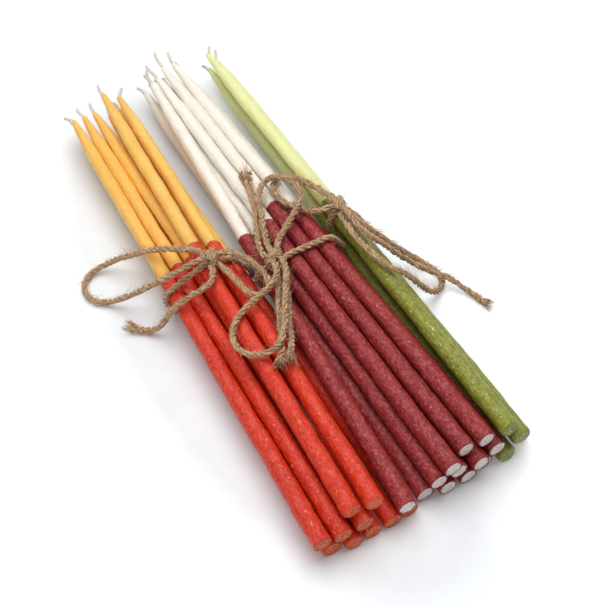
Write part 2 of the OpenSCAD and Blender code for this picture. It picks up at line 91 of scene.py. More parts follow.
# Routes of the loops and tails, in millimetres.
ROUTES = {
    "orange_left_loop": [
        (-22.4, 4.7, 22.2), (-23.2, 7.4, 22), (-25.5, 10.5, 21.2), (-29, 14, 19.8), (-33, 18, 17.8),
        (-36.8, 22, 14.8), (-40.4, 26, 10.6), (-44, 30, 6.4), (-48.5, 32.5, 3), (-53.5, 32.5, 1.6),
        (-57.5, 29.5, 1.4), (-59, 25, 1.4), (-57.5, 20.5, 1.4), (-53.5, 17.5, 2), (-49.5, 14.5, 5),
        (-46, 11.5, 9), (-42.5, 8.5, 13.5), (-39, 6, 17.2), (-34.5, 4, 20.6), (-30, 3, 22.9),
        (-26.6, 2.7, 23.8), (-23.4, 2.6, 23.9),
    ],
    "orange_right_loop": [
        (-19.5, 2.8, 23.3), (-16.6, 2.4, 23.1), (-13.8, 0.8, 22.5), (-11.2, -1.8, 21.7), (-9.2, -5, 20.7),
        (-8, -8.4, 19.6), (-7.8, -11.8, 18.8), (-9.2, -15.2, 18.4), (-12.6, -16.6, 18.7), (-16, -15.2, 19.8),
        (-17.4, -11.8, 20.5), (-18, -8.4, 21), (-18.6, -5.2, 21.3), (-19.4, -2.2, 21.5), (-20, 0.4, 21.6),
    ],
    "orange_tail": [
        (-22.8, 0.4, 21.6), (-23, -1.6, 21.6), (-24.2, -4, 21.3), (-26.4, -5.6, 20.8), (-29.2, -6, 19.9),
        (-32.2, -5.6, 18.5), (-35.2, -5, 16.8), (-38, -4.4, 14.7), (-40.2, -3.8, 12), (-41.8, -3.2, 8.9),
        (-43.2, -2.5, 5.8), (-45, -1.5, 3.2), (-47.2, 0, 1.7), (-49.6, 2, 1.4), (-51.6, 4.2, 1.4),
    ],
    "burgundy_upper_loop": [
        (-1.8, -4, 20.9), (-1.6, -1, 21.2), (-0.6, 3, 21.6), (1, 7.5, 21.9), (2.8, 12, 22),
        (4.5, 16.5, 22.1), (6.5, 20.5, 22.2), (9.5, 23.8, 22.2), (13.5, 25, 22.2), (17.2, 23, 22.2),
        (19.2, 19, 22.3), (19, 14.5, 22.5), (16.8, 10.5, 22.5), (13.4, 7.5, 22.2), (9.8, 5, 21.8),
        (6.4, 2.6, 21.3), (3.4, 0.4, 21.1), (1.4, -1.8, 20.9), (0.7, -4, 20.8),
    ],
    "burgundy_lower_loop": [
        (-3.4, -7.8, 21.5), (-3.8, -10.5, 21.8), (-5.5, -14, 22), (-9, -16.8, 21.9), (-13.5, -18.5, 21.6),
        (-18.5, -20, 21.3), (-23, -22, 21), (-27, -25, 20.8), (-29.7, -29, 20.7), (-30.5, -33.5, 20.7),
        (-28.8, -37.8, 20.9), (-25, -40.5, 21.6), (-20.5, -41, 22.6), (-16.5, -38.5, 23),
        (-13.5, -34.5, 22.8), (-11, -30, 22.3), (-8.5, -25.5, 21.9), (-5.5, -20.5, 21.7),
        (-2.8, -16, 21.7), (-0.9, -12, 21.6), (-0.4, -7.8, 21.5),
    ],
    "burgundy_upper_tail": [
        (-4.2, -4, 19.6), (-4.4, -1.6, 19.8), (-4, 1, 19.9), (-3, 4, 19.9), (-1.6, 7, 19.8),
        (-0.2, 10, 19.6), (1.2, 13, 19.5), (2.4, 15.8, 19.4), (3.4, 18.5, 19.3), (4.2, 21.2, 19.3),
        (5, 24, 19.2), (5.6, 26.5, 19.2), (6.2, 29, 19.1), (6.8, 31, 19.1), (7.5, 33, 19.1),
    ],
    "burgundy_tail_left": [
        (-3.3, -8.6, 18.6), (-3.5, -10.8, 18.5), (-4.4, -13.2, 18.3), (-5.8, -16, 18), (-7.4, -19, 17.7),
        (-9, -22, 17.5), (-10.4, -25, 17.4), (-11.8, -28, 17.5), (-13.2, -31, 17.9), (-14.6, -34, 18.6),
        (-16, -37, 19.5), (-17.4, -39.6, 20.2), (-18.6, -41.8, 20.5), (-19.8, -43.8, 20.5),
        (-21, -45.6, 20.5),
    ],
    "burgundy_tail_right": [
        (-0.4, -8.6, 18.9), (-0.5, -10.8, 18.8), (-1.2, -13.2, 18.6), (-2.4, -16, 18.2), (-4, -19, 17.7),
        (-5.4, -22, 17.3), (-6.8, -25, 17.1), (-8.2, -28, 17), (-9.6, -31, 17.2), (-11, -34, 17.6),
        (-12.4, -37, 18.4), (-13.8, -39.6, 19.3), (-15, -41.8, 20.1), (-16.2, -43.8, 20.5),
        (-17.4, -45.6, 20.6),
    ],
    "green_left_loop": [
        (27.8, 4.7, 21.6), (27.6, 7.6, 21.3), (27, 11, 20.8), (26, 15, 20.2), (24.6, 19, 19.6),
        (22.4, 23, 19.3), (18.8, 25.6, 19.2), (14.8, 25, 19.2), (12.6, 21.8, 19.2), (12.6, 18, 19.3),
        (13.8, 14.4, 19.4), (15.8, 11, 19.5), (18, 7.8, 19.9), (20.4, 5.2, 20.9), (23.2, 3.5, 22.1),
        (26.6, 2.8, 22.7),
    ],
    "green_right_loop": [
        (30, 0.4, 20.9), (30.2, -2, 21), (31, -5.5, 20.9), (32.8, -9, 20), (35.2, -12, 17.8),
        (38, -14.2, 14.6), (41, -15.6, 11), (44.2, -16.8, 7.4), (47.4, -18.2, 4.2), (50.2, -20.8, 2),
        (51.8, -24.4, 1.4), (51.6, -28.4, 1.4), (49.4, -31.6, 1.6), (46, -33.2, 3.2), (43, -33.8, 6),
        (40.4, -34, 9.6), (38, -33.8, 13.4), (35.6, -33, 16.8), (32.8, -31, 19.3), (30.2, -28, 20.3),
        (28.6, -24, 20.5), (27.6, -19.5, 20.6), (26.8, -15, 20.8), (26.4, -10.5, 20.9), (26.6, -6, 20.9),
        (26.9, -2, 20.9), (27, 0.4, 20.9),
    ],
    "green_tail": [
        (28.5, 0.8, 23.2), (28.5, -2.2, 23.1), (28.8, -6, 22.4), (29.8, -10, 21.6), (31.6, -13.5, 20.3),
        (34.4, -16.4, 17.8), (37.6, -18.6, 14.4), (40.8, -20.4, 10.8), (44, -22.4, 7.8), (47.2, -24.8, 5.6),
        (50, -27.4, 4.5), (52.6, -30.4, 4), (54.8, -33.8, 2.8), (56.8, -37.6, 1.7), (58.4, -41.4, 1.4),
        (59.6, -45, 1.4),
    ],
}

# Camera, from the vanishing directions of the photograph.
CAMERA_TARGET = (5.0, -13.71, 0.0)
CAMERA_AZIMUTH = -28.83
CAMERA_ELEVATION = 51.65
CAMERA_DISTANCE = 653.7
CAMERA_LENS = 112.7
CAMERA_SENSOR = 36.0
CAMERA_CLIP = (0.01, 100)


# Meshes.

def add_object(name, data):
    """A new object in the scene."""
    made = bpy.data.objects.new(name, data)
    bpy.context.scene.collection.objects.link(made)
    return made


def fan(ring, turned=False):
    """Triangles that close a ring, all from its first point."""
    near, far = ring[1:-1], ring[2:]
    if turned:
        near, far = far, near
    return np.stack([np.full(len(near), ring[0]), near, far], axis=-1)


class Shape:
    """Points, faces and named values per point, gathered grid by grid and made into one object."""

    def __init__(self):
        self.points = []
        self.quads = []
        self.triangles = []
        self.values = {}
        self.count = 0

    def add_points(self, points, values):
        """Points with named values, one for each point or one for all. Gives the first point's number."""
        start = self.count
        points = np.asarray(points, float).reshape(-1, 3)
        self.points.append(points)
        for key, value in values.items():
            width = 3 if key == "lay" else 1
            flat = np.asarray(value, float)
            if flat.size == width:
                flat = np.tile(flat.reshape(1, width), (len(points), 1))
            self.values.setdefault(key, []).append(flat.reshape(len(points), width))
        self.count += len(points)
        return start

    def add_grid(self, grid, values, closed_rows=False, cap_start=False, cap_end=False):
        """A grid of rings: columns join round, rows join along."""
        rows, columns = grid.shape[:2]
        start = self.add_points(grid, values)
        index = start + np.arange(rows * columns).reshape(rows, columns)
        after = np.roll(index, -1, axis=1)
        low, high, low_after, high_after = index[:-1], index[1:], after[:-1], after[1:]
        if closed_rows:
            low, low_after = index, after
            high, high_after = np.roll(index, -1, axis=0), np.roll(after, -1, axis=0)
        self.quads.append(np.stack([low, low_after, high_after, high], axis=-1).reshape(-1, 4))
        if cap_start:
            self.triangles.append(fan(index[0], turned=True))
        if cap_end:
            self.triangles.append(fan(index[-1]))

    def make(self, name, material):
        """The object, smooth all over, with its values as attributes of the points."""
        points = np.concatenate(self.points) * MM
        faces = [face for block in self.quads + self.triangles for face in block.tolist()]
        mesh = bpy.data.meshes.new(name)
        mesh.from_pydata(points.tolist(), [], faces)
        for key, parts in self.values.items():
            data = np.concatenate(parts)
            if data.shape[1] == 3:
                layer = mesh.attributes.new(key, "FLOAT_VECTOR", "POINT")
                layer.data.foreach_set("vector", data.ravel())
            else:
                layer = mesh.attributes.new(key, "FLOAT", "POINT")
                layer.data.foreach_set("value", data.ravel())
        mesh.polygons.foreach_set("use_smooth", [True] * len(mesh.polygons))
        mesh.materials.append(material)
        mesh.update()
        return add_object(name, mesh)


def unit(v):
    """The same direction, of length one."""
    return v / np.linalg.norm(v)


def round_angles(count):
    """Even angles round a full turn."""
    return np.linspace(0, FULL_TURN, count, endpoint=False)


WELD_DIST = 1e-6


def islands(node):
    """Point sets of the separate solids of a CAD node, in millimetres."""
    source = bmesh.new()
    source.from_mesh(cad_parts[node].data)
    bmesh.ops.remove_doubles(source, verts=source.verts, dist=WELD_DIST)
    seen = set()
    found = []
    for first in source.verts:
        if first.index in seen:
            continue
        seen.add(first.index)
        waiting = [first]
        solid = []
        while waiting:
            vert = waiting.pop()
            solid.append(vert.co[:])
            for edge in vert.link_edges:
                other = edge.other_vert(vert)
                if other.index not in seen:
                    seen.add(other.index)
                    waiting.append(other)
        found.append(np.array(solid) / MM)
    source.free()
    return found


# Candles.

# The stretch of wick that gives the middle of each of its ends, and the lower middle's height over the butt.
WICK_END_LEN = 2
WICK_FOOT = 3.04

# The step in height that tells rows of candles apart.
ROW_HEIGHT = 4

# Waves of the wax: how many, how long, and how far they stand out. A long one turns round the candle once,
# a short one fewer than WAVE_TURNS times.
LONG_WAVES = 3
LONG_WAVE_LEN = (30, 70)
LONG_WAVE_R = 0.05
SHORT_WAVES = 11
SHORT_WAVE_LEN = (5, 20)
SHORT_WAVE_R = 0.022
WAVE_TURNS = 4

# How far the texture of a candle is shifted at most, each way.
LAY_SPREAD = 400


class Candle:
    """One candle's axis, the reach of its overdip and what makes it differ from its neighbours."""

    def __init__(self, group, wick):
        ends = wick[:, 1]
        low = wick[ends < ends.min() + WICK_END_LEN].mean(axis=0)
        high = wick[ends > ends.max() - WICK_END_LEN].mean(axis=0)
        self.group = group
        self.coated = group in COATED
        self.along = unit(high - low)
        self.side = unit(np.cross(self.along, UP))
        self.up = np.cross(self.side, self.along)
        self.foot = low - self.along * WICK_FOOT
        self.reach = 0.0

    def off_axis(self, point):
        """Distance of a point from the candle's axis."""
        return np.linalg.norm(np.cross(point - self.foot, self.along))

    def take_number(self, number):
        """The candle's own random tone, texture place and waves."""
        self.number = number
        self.random = np.random.default_rng(SEED + number)
        self.tone = self.random.uniform(-1, 1)
        if self.group in BRIGHT:
            self.tone = -1.0
        self.shift = self.random.uniform(-LAY_SPREAD, LAY_SPREAD, 3)
        long_lengths = self.random.uniform(*LONG_WAVE_LEN, LONG_WAVES)
        short_lengths = self.random.uniform(*SHORT_WAVE_LEN, SHORT_WAVES)
        count = LONG_WAVES + SHORT_WAVES
        self.wave_length = np.concatenate([long_lengths, short_lengths])
        self.wave_turns = self.random.integers(0, WAVE_TURNS, count)
        self.wave_turns[:LONG_WAVES] = 1
        self.wave_phase = self.random.uniform(0, FULL_TURN, count)
        self.wave_size = np.repeat([LONG_WAVE_R, SHORT_WAVE_R], [LONG_WAVES, SHORT_WAVES])

    def lumps(self, s, angle):
        """How far the surface stands out of the plain candle at lengths and angles."""
        total = np.zeros(np.broadcast(s, angle).shape)
        for length, turns, phase, size in zip(
            self.wave_length, self.wave_turns, self.wave_phase, self.wave_size
        ):
            total += size * np.cos(FULL_TURN * s / length + turns * angle + phase)
        return total

    def surface(self, s, angle, radius):
        """Points in the frame for arrays of length, angle and radius."""
        across = np.cos(angle)[..., None] * self.side + np.sin(angle)[..., None] * self.up
        return self.foot + s[..., None] * self.along + radius[..., None] * across

    def lay(self, s, angle, radius):
        """Texture place in the candle's own millimetres."""
        own = np.stack([s, radius * np.cos(angle), radius * np.sin(angle)], axis=-1)
        return own + self.shift


def core_r(s):
    """Radius of the pale wax at a length from the butt."""
    s = np.asarray(s, float)
    butt = BUTT_R - DIP_T
    taper = butt - (butt - SHOULDER_R) * (s - STRAIGHT_LEN) / (SHOULDER_S - STRAIGHT_LEN)
    tip_share = np.clip((s - SHOULDER_S) / TIP_LEN, 0, 1)
    tip = TIP_R + (SHOULDER_R - TIP_R) * (1 - tip_share ** TIP_ROUND)
    return np.where(s < STRAIGHT_LEN, butt, np.where(s < SHOULDER_S, taper, tip))


def read_candles():
    """All candles by bundle, row by row in each group, with their overdips' reach."""
    bundles = {}
    number = 0
    for bundle, groups in GROUPS.items():
        candles = []
        for group in groups:
            own = [Candle(group, wick) for wick in islands(group + "_wick")]
            for dip in islands(group + "_dip"):
                middle = dip.mean(axis=0)
                nearest = min(own, key=lambda c: c.off_axis(middle))
                nearest.reach = ((dip - nearest.foot) @ nearest.along).max()
            own.sort(key=lambda c: (round(c.foot[2] / ROW_HEIGHT), c.foot[0]))
            candles += own
        for candle in candles:
            candle.take_number(number)
            number += 1
        bundles[bundle] = candles
    return bundles


# Rings of the pale wax. It swells towards the shoulder, and is drawn in where the overdip hides it.
WAX_SIDES = 36
TURN = round_angles(WAX_SIDES)
BARE_SWELL = 0.3
HIDDEN_IN = 0.35
HIDDEN_START = 0.3
HIDDEN_BELOW = 6
HIDDEN_RINGS = 8
BARE_BELOW = 5
BARE_STEP = 1.2
SHOULDER_CLEAR = 0.3
TIP_RINGS = 24

# Wax drawn up round the wick: place past the end of the wax, and radius.
COLLAR = [(0.5, 0.86), (1.0, 0.7), (1.3, 0.4)]

# Face of a cut butt: place along the candle, and radius. Its rings are torn by up to TORN, all but the first
# and the last two.
CUT_FACE = [
    (0, 0.02), (0, 0.6), (0, 1.2), (0, 1.8), (0, 2.3), (0, 2.7), (0.03, 2.9), (0.1, 2.99), (0.35, 3.0),
]
TORN = 0.07
CUT_LUMPS = 0.5

# Overdip at the butt, coated over it or open round the cut wax: place, radius, share of the end's colour.
COATED_BUTT = [
    (-0.14, 0.02, 1), (-0.19, 0.7, 1), (-0.2, 1.4, 1), (-0.17, 2.05, 0.9), (-0.08, 2.5, 0.7),
    (0.1, 2.84, 0.4), (0.42, 3.08, 0.15), (0.9, 3.22, 0), (1.5, 3.28, 0), (2.2, 3.27, 0), (3.0, 3.24, 0),
]
OPEN_BUTT = [
    (0.3, 2.54, 0), (-0.01, 2.66, 0), (-0.05, 2.88, 0), (0.0, 3.06, 0), (0.06, 3.16, 0), (0.25, 3.2, 0),
    (0.7, 3.2, 0),
]

# Rings of an overdip in shares of its length, its upper edge, and the bead: place below the edge, and level.
DIP_SHARES = np.concatenate([np.linspace(0.03, 0.97, 96), np.linspace(0.975, 1, 6)])
EDGE_BACK = 0.9
EDGE_SLANT = (0.1, 0.7)
EDGE_WAVES = [(0.16, 3), (0.1, 5)]
BEAD_LEN = 0.9
BEAD = [(0.6, 0.245), (0.35, 0.25), (0.15, 0.215), (0.02, 0.14), (-0.04, 0.04), (-0.06, -0.1)]


def per_ring(values):
    """One value or one row per ring, as rows of WAX_SIDES values."""
    values = np.asarray(values, float).reshape(len(values), -1)
    return np.broadcast_to(values, (len(values), WAX_SIDES))


def add_rings(shape, candle, s, radius, cut=0.0, bump=1.0):
    """Rings of points on a candle, with how much of each ring shows the colour of its end."""
    s = per_ring(s)
    radius = per_ring(radius)
    angle = np.broadcast_to(TURN, s.shape)
    fade = np.minimum(1, radius / SHOULDER_R)
    stood = radius + bump * fade * candle.lumps(s, angle)
    values = {
        "lay": candle.lay(s, angle, stood),
        "tone": candle.tone,
        "cut": per_ring(np.broadcast_to(cut, len(s))),
    }
    shape.add_grid(candle.surface(s, angle, stood), values)


def add_wax(shape, candle):
    """Pale body: hidden in the overdip, bare above it, and drawn up round the wick at the tip."""
    hidden = np.linspace(HIDDEN_START, candle.reach - HIDDEN_BELOW, HIDDEN_RINGS)
    bare = np.arange(candle.reach - BARE_BELOW, SHOULDER_S - SHOULDER_CLEAR, BARE_STEP)
    tip = np.linspace(SHOULDER_S, WAX_LEN, TIP_RINGS)
    s = np.concatenate([hidden, bare, tip])
    above_dip = np.clip((s - candle.reach) / (SHOULDER_S - candle.reach), 0, 1)
    into_tip = np.clip((s - SHOULDER_S) / TIP_LEN, 0, 1)
    radius = core_r(s) + BARE_SWELL * above_dip * (1 - into_tip ** 3)
    radius[:HIDDEN_RINGS] -= HIDDEN_IN
    collar_s, collar_r = np.array(COLLAR).T
    add_rings(shape, candle, np.concatenate([s, WAX_LEN + collar_s]), np.concatenate([radius, collar_r]))
    if not candle.coated:
        add_cut_end(shape, candle)


def add_cut_end(shape, candle):
    """Face of a cut butt: nearly flat, torn a little, with a soft edge."""
    s, radius = np.array(CUT_FACE).T
    torn = candle.random.uniform(-TORN, TORN, (len(CUT_FACE), WAX_SIDES))
    torn[0] = 0
    torn[-2:] = 0
    add_rings(shape, candle, s[:, None] + torn, radius, cut=1.0, bump=CUT_LUMPS)


def add_dip(shape, candle):
    """Coloured skin with a slanted, slightly wavy upper edge that ends in a low bead."""
    slant = candle.random.uniform(*EDGE_SLANT)
    facing = candle.random.uniform(0, FULL_TURN)
    phases = candle.random.uniform(0, FULL_TURN, len(EDGE_WAVES))
    edge = candle.reach - EDGE_BACK + slant * np.cos(TURN - facing)
    edge += sum(size * np.cos(turns * TURN + phase) for (size, turns), phase in zip(EDGE_WAVES, phases))
    skin_s = DIP_SHARES[:, None] * (edge[None, :] - BEAD_LEN)
    skin_r = core_r(skin_s) + DIP_T
    below, level = np.array(BEAD).T[..., None]
    bead_s = edge[None, :] - below
    bead_r = core_r(bead_s) + level
    butt_s, butt_r, butt_cut = np.array(COATED_BUTT if candle.coated else OPEN_BUTT).T
    s = np.concatenate([per_ring(butt_s), skin_s, bead_s])
    radius = np.concatenate([per_ring(butt_r), skin_r, bead_r])
    cut = np.concatenate([butt_cut, np.zeros(len(s) - len(butt_cut))])
    add_rings(shape, candle, s, radius, cut)


# Lines and twine.

# Steps from one point of a smooth curve to the next, and the rise from which a line counts as upright.
CURVE_STEPS = 16
STEEP = 0.9


def even(line, step, closed=False):
    """A polyline walked at even steps."""
    line = np.asarray(line, float)
    if closed:
        line = np.concatenate([line, line[:1]])
    walked = np.concatenate([[0], np.cumsum(np.linalg.norm(np.diff(line, axis=0), axis=1))])
    count = max(2, int(round(walked[-1] / step)))
    places = np.linspace(0, walked[-1], count + 1)
    if closed:
        places = places[:-1]
    return np.stack([np.interp(places, walked, line[:, k]) for k in range(3)], axis=1)


def smooth(points, step):
    """A smooth curve through points, walked at even steps."""
    p = np.asarray(points, float)
    p = np.concatenate([[2 * p[0] - p[1]], p, [2 * p[-1] - p[-2]]])
    t = np.linspace(0, 1, CURVE_STEPS, endpoint=False)[:, None]
    line = []
    for a, b, c, d in zip(p[:-3], p[1:-2], p[2:-1], p[3:]):
        line.append(
            0.5 * (2 * b + (c - a) * t + (2 * a - 5 * b + 4 * c - d) * t ** 2
                   + (3 * b - a - 3 * c + d) * t ** 3)
        )
    line.append(p[-2][None, :])
    return even(np.concatenate(line), step)


def carried(line, closed=False):
    """Unit vectors along a line and two square to it, turning as little as they can."""
    if closed:
        ahead = np.roll(line, -1, axis=0) - np.roll(line, 1, axis=0)
    else:
        ahead = np.gradient(line, axis=0)
    ahead = ahead / np.linalg.norm(ahead, axis=1)[:, None]
    side = np.zeros_like(line)
    start = UP if abs(ahead[0] @ UP) < STEEP else RIGHT
    last = np.cross(start, ahead[0])
    for i, t in enumerate(ahead):
        last = unit(last - t * (last @ t))
        side[i] = last
    return ahead, side, np.cross(ahead, side)


def ring_round(side, up, sides):
    """Unit vectors in a ring round each point of a line."""
    angle = round_angles(sides)
    return np.cos(angle)[None, :, None] * side[:, None] + np.sin(angle)[None, :, None] * up[:, None]


def swung(turn, side, up):
    """One unit vector square to a line at each of its points, at the angles given."""
    return np.cos(turn)[:, None] * side + np.sin(turn)[:, None] * up


def pointing(angle, side, up):
    """The same at one point."""
    return math.cos(angle) * side + math.sin(angle) * up


def wave(walked, size, length, phase):
    """A wave along a line, at the distances walked on it."""
    return size * np.cos(FULL_TURN * walked / length + phase)


ROPE_STEP = 0.4
PLY_SIDES = 8
FLOOR_CLEAR = 0.03

# Unevenness of the plies. Swells and wanders are waves of their thickness, by size in shares of it and by
# length, and a wander also moves its ply out. Swings turn the lay, in radians, so many to a tie or a cord.
LONG_SWELL = (0.05, 11)
SHORT_SWELL = (0.04, 4.3)
WANDERS = [(0.1, (6, 12)), (0.07, (2, 4))]
WANDER_PHASE = 6
WANDER_OUT = 0.4
PLY_SINK = 0.02
PLY_MOST = 1.1
SWING = 0.5
TIE_SWINGS = 2
CORD_SWINGS = (10, 16)

# The end of a tail: where its plies begin to part, and how the last rings taper.
OPEN_LEN = 9.0
END_TAPER = np.linspace(0.95, 0.7, 4)

# Texture of twine: drawn out along it, stretched round a ply, and turned less than the ply is.
TWINE_DRAWN = 0.16
TWINE_ROUND = 1.6
TWINE_SPIN = 0.9
TWINE_SPREAD = 90


def ply_lay(walked, turn, drawn, size):
    """Texture places round a ply, so that its fibres run along it."""
    spin = round_angles(PLY_SIDES)[None, :] + turn[:, None]
    places = np.broadcast_to(walked[:, None], spin.shape)
    return np.stack([places * drawn, size * np.cos(spin), size * np.sin(spin)], axis=-1)


def add_rope(shape, line, random, closed=False, parted=0.0):
    """Three twisted plies round a line, which part at the end of a tail."""
    ahead, side, up = carried(line, closed)
    walked = np.arange(len(line)) * ROPE_STEP
    start = random.uniform(0, FULL_TURN)
    swell = wave(walked, *LONG_SWELL, start) + wave(walked, *SHORT_SWELL, 0)
    swings = TIE_SWINGS if closed else random.uniform(*CORD_SWINGS)
    swing = SWING * np.sin(FULL_TURN * swings * walked / (walked[-1] + ROPE_STEP))
    left = walked[-1] - walked
    opened = 1 + parted * np.clip(1 - left / OPEN_LEN, 0, 1) ** 2
    across = ring_round(side, up, PLY_SIDES)
    for ply in range(PLIES):
        turn = start + FULL_TURN * (walked / LAY_PITCH + ply / PLIES) + swing
        wander = sum(
            wave(walked, size, random.uniform(*lengths), random.uniform(0, WANDER_PHASE))
            for size, lengths in WANDERS
        )
        out = (LAY_R - PLY_SINK + WANDER_OUT * wander) * opened
        centre = line + out[:, None] * swung(turn, side, up)
        thick = np.minimum(PLY_R * (1 + swell + wander), PLY_R * PLY_MOST)
        if parted:
            thick[-len(END_TAPER):] *= END_TAPER
        grid = centre[:, None] + thick[:, None, None] * across
        grid[..., 2] = np.maximum(grid[..., 2], FLOOR_CLEAR)
        lay = ply_lay(walked, TWINE_SPIN * turn, TWINE_DRAWN, TWINE_ROUND)
        values = {
            "lay": lay + random.uniform(-TWINE_SPREAD, TWINE_SPREAD, 3),
            "tone": random.uniform(-1, 1),
        }
        shape.add_grid(grid, values, closed_rows=closed, cap_start=not closed, cap_end=not closed)


# Loose fibres: how fine they end, and their texture, drawn out along them and apart by their tone.
FIBRE_SIDES = 3
FIBRE_TIP = 0.35
FIBRE_DRAWN = 0.1
FIBRE_APART = 40

# Hairs: how many to a millimetre, points without any at each end, steps in a hair, the gamma curve of their
# length with its least and most, share that points ahead, how they rise, lie, curl and bend, how far outward
# they have to point, where they leave the twine, and radius.
CORD_HAIRS = 7.0
TIE_HAIRS = 1.6
KNOT_HAIRS = 2.5
HAIR_CLEAR = 2
HAIR_STEPS = 6
HAIR_GAMMA = (2.2, 0.75)
HAIR_LEAST = 0.4
HAIR_MOST = 5.0
HAIR_AHEAD = 0.7
HAIR_RISE = (0.15, 0.75)
HAIR_LIE = 0.8
HAIR_CURL = 0.35
HAIR_BEND = 0.5
HAIR_OUT = 0.05
HAIR_ROOT = 0.85
HAIR_R = (0.04, 0.085)

# The brush at a cut end: count, steps in a fibre, length, spread, lift, bend, root behind the end, lowest
# height, and radius.
FRAY_COUNT = 60
FRAY_STEPS = 7
FRAY_LEN = (1.6, 4.2)
FRAY_WIDE = 1.4
FRAY_SPREAD = 0.4
FRAY_LIFT = (-0.03, 0.16)
FRAY_BEND = 0.14
FRAY_CURVE = 4
FRAY_ROOT = 1.2
FRAY_LOW = 0.3
FRAY_R = (0.08, 0.17)


def add_fibre(shape, line, thick, tone):
    """One loose fibre: a fine three-sided tube that tapers."""
    line[:, 2] = np.maximum(line[:, 2], thick + FLOOR_CLEAR)
    ahead, side, up = carried(line)
    size = thick * np.linspace(1, FIBRE_TIP, len(line))
    lay = np.zeros((len(line), FIBRE_SIDES, 3))
    lay[..., 0] = np.arange(len(line))[:, None] * FIBRE_DRAWN
    grid = line[:, None] + size[:, None, None] * ring_round(side, up, FIBRE_SIDES)
    shape.add_grid(grid, {"lay": lay + tone * FIBRE_APART, "tone": tone}, cap_end=True)


def add_fuzz(shape, line, random, outward, per_mm):
    """Loose fibres that stand out of the twine, away from what it lies on."""
    ahead, side, up = carried(line)
    t = np.linspace(0, 1, HAIR_STEPS)[:, None]
    for _ in range(int(len(line) * ROPE_STEP * per_mm)):
        i = random.integers(HAIR_CLEAR, len(line) - HAIR_CLEAR)
        out = pointing(random.uniform(0, FULL_TURN), side[i], up[i])
        free = outward(line[i])
        if out @ free < HAIR_OUT:
            continue
        long = min(random.gamma(*HAIR_GAMMA) + HAIR_LEAST, HAIR_MOST)
        way = 1 if random.random() < HAIR_AHEAD else -1
        rise = random.uniform(*HAIR_RISE)
        curl = random.normal(0, HAIR_CURL, 3)
        curl -= free * min(0, curl @ free)
        start = line[i] + out * TWINE_R * HAIR_ROOT
        straight = way * ahead[i] * HAIR_LIE + out * rise
        path = start + t * long * straight + t ** 2 * long * curl * HAIR_BEND
        add_fibre(shape, path, random.uniform(*HAIR_R), random.uniform(-1, 1))


def add_fray(shape, line, random):
    """A brush of fibres at a cut end."""
    ahead, side, up = carried(line)
    t = np.linspace(0, 1, FRAY_STEPS)[:, None]
    for _ in range(FRAY_COUNT):
        out = pointing(random.uniform(0, FULL_TURN), side[-1], up[-1])
        far = TWINE_R * math.sqrt(random.random()) * FRAY_WIDE
        lean = out * random.uniform(0, FRAY_SPREAD) + UP * random.uniform(*FRAY_LIFT)
        bend = random.normal(0, FRAY_BEND, 3)
        bend[2] = abs(bend[2])
        start = line[-1] + out * far - ahead[-1] * FRAY_ROOT
        path = start + t * random.uniform(*FRAY_LEN) * (ahead[-1] + lean) + t ** 2 * bend * FRAY_CURVE
        path[:, 2] = np.maximum(path[:, 2], FRAY_LOW)
        add_fibre(shape, path, random.uniform(*FRAY_R), random.uniform(-1, 1))


def above(point):
    """Outward side of twine that lies on something: up, wherever the point is."""
    return UP


# Degrees from one point of a tie to the next, and the factor that keeps a vector in the plane of a tie.
TIE_DEGREES = 2
IN_TIE = np.array([1, 0, 1])


def tie_line(candles, y):
    """A string pulled tight round a bundle's candles in the plane of its tie."""
    sections = []
    for candle in candles:
        s = (y - candle.foot[1]) / candle.along[1]
        middle = candle.foot + candle.along * s
        sections.append((middle[0], middle[2], float(core_r(s)) + DIP_T))
    points = []
    for degree in range(0, 360, TIE_DEGREES):
        n = (math.cos(math.radians(degree)), math.sin(math.radians(degree)))
        x, z, r = max(sections, key=lambda c: c[0] * n[0] + c[1] * n[1] + c[2])
        far = r + TWINE_GAP + TWINE_R
        points.append((x + far * n[0], y, z + far * n[1]))
    return even(points, ROPE_STEP, closed=True)


# A knot: its turns, by number, length, radius and first angle, and one strand over them, by radius, tilt and
# degrees.
KNOT_TURNS = 1.7
KNOT_LEN = 3.4
KNOT_R = 2.0
KNOT_START = 0.6
KNOT_STEPS = 60
OVER_R = 2.6
OVER_TILT = (-1.2, 1.4)
OVER_DEGREES = (-25, 205)
OVER_STEPS = 40


def knot_lines(centre, axis, front):
    """The turns of a knot round its axis, and one strand over them."""
    top = np.cross(axis, front)
    if top[2] < 0:
        top = -top
    t = np.linspace(0, 1, KNOT_STEPS)[:, None]
    angle = FULL_TURN * KNOT_TURNS * t + KNOT_START
    wound = centre + axis * (t - 0.5) * KNOT_LEN + KNOT_R * (np.cos(angle) * front + np.sin(angle) * top)
    over_angle = np.radians(np.linspace(*OVER_DEGREES, OVER_STEPS))[:, None]
    tilt = np.linspace(*OVER_TILT, OVER_STEPS)[:, None]
    over = centre + axis * tilt + OVER_R * (np.cos(over_angle) * front + np.sin(over_angle) * top)
    return [even(wound, ROPE_STEP), even(over, ROPE_STEP)]


# Materials.

def linear(red, green, blue):
    """A colour written as on the screen, 0 to 255, in the renderer's linear values."""
    def one(v):
        v = v / 255
        return v / 12.92 if v <= 0.04045 else ((v + 0.055) / 1.055) ** 2.4
    return (one(red), one(green), one(blue), 1.0)


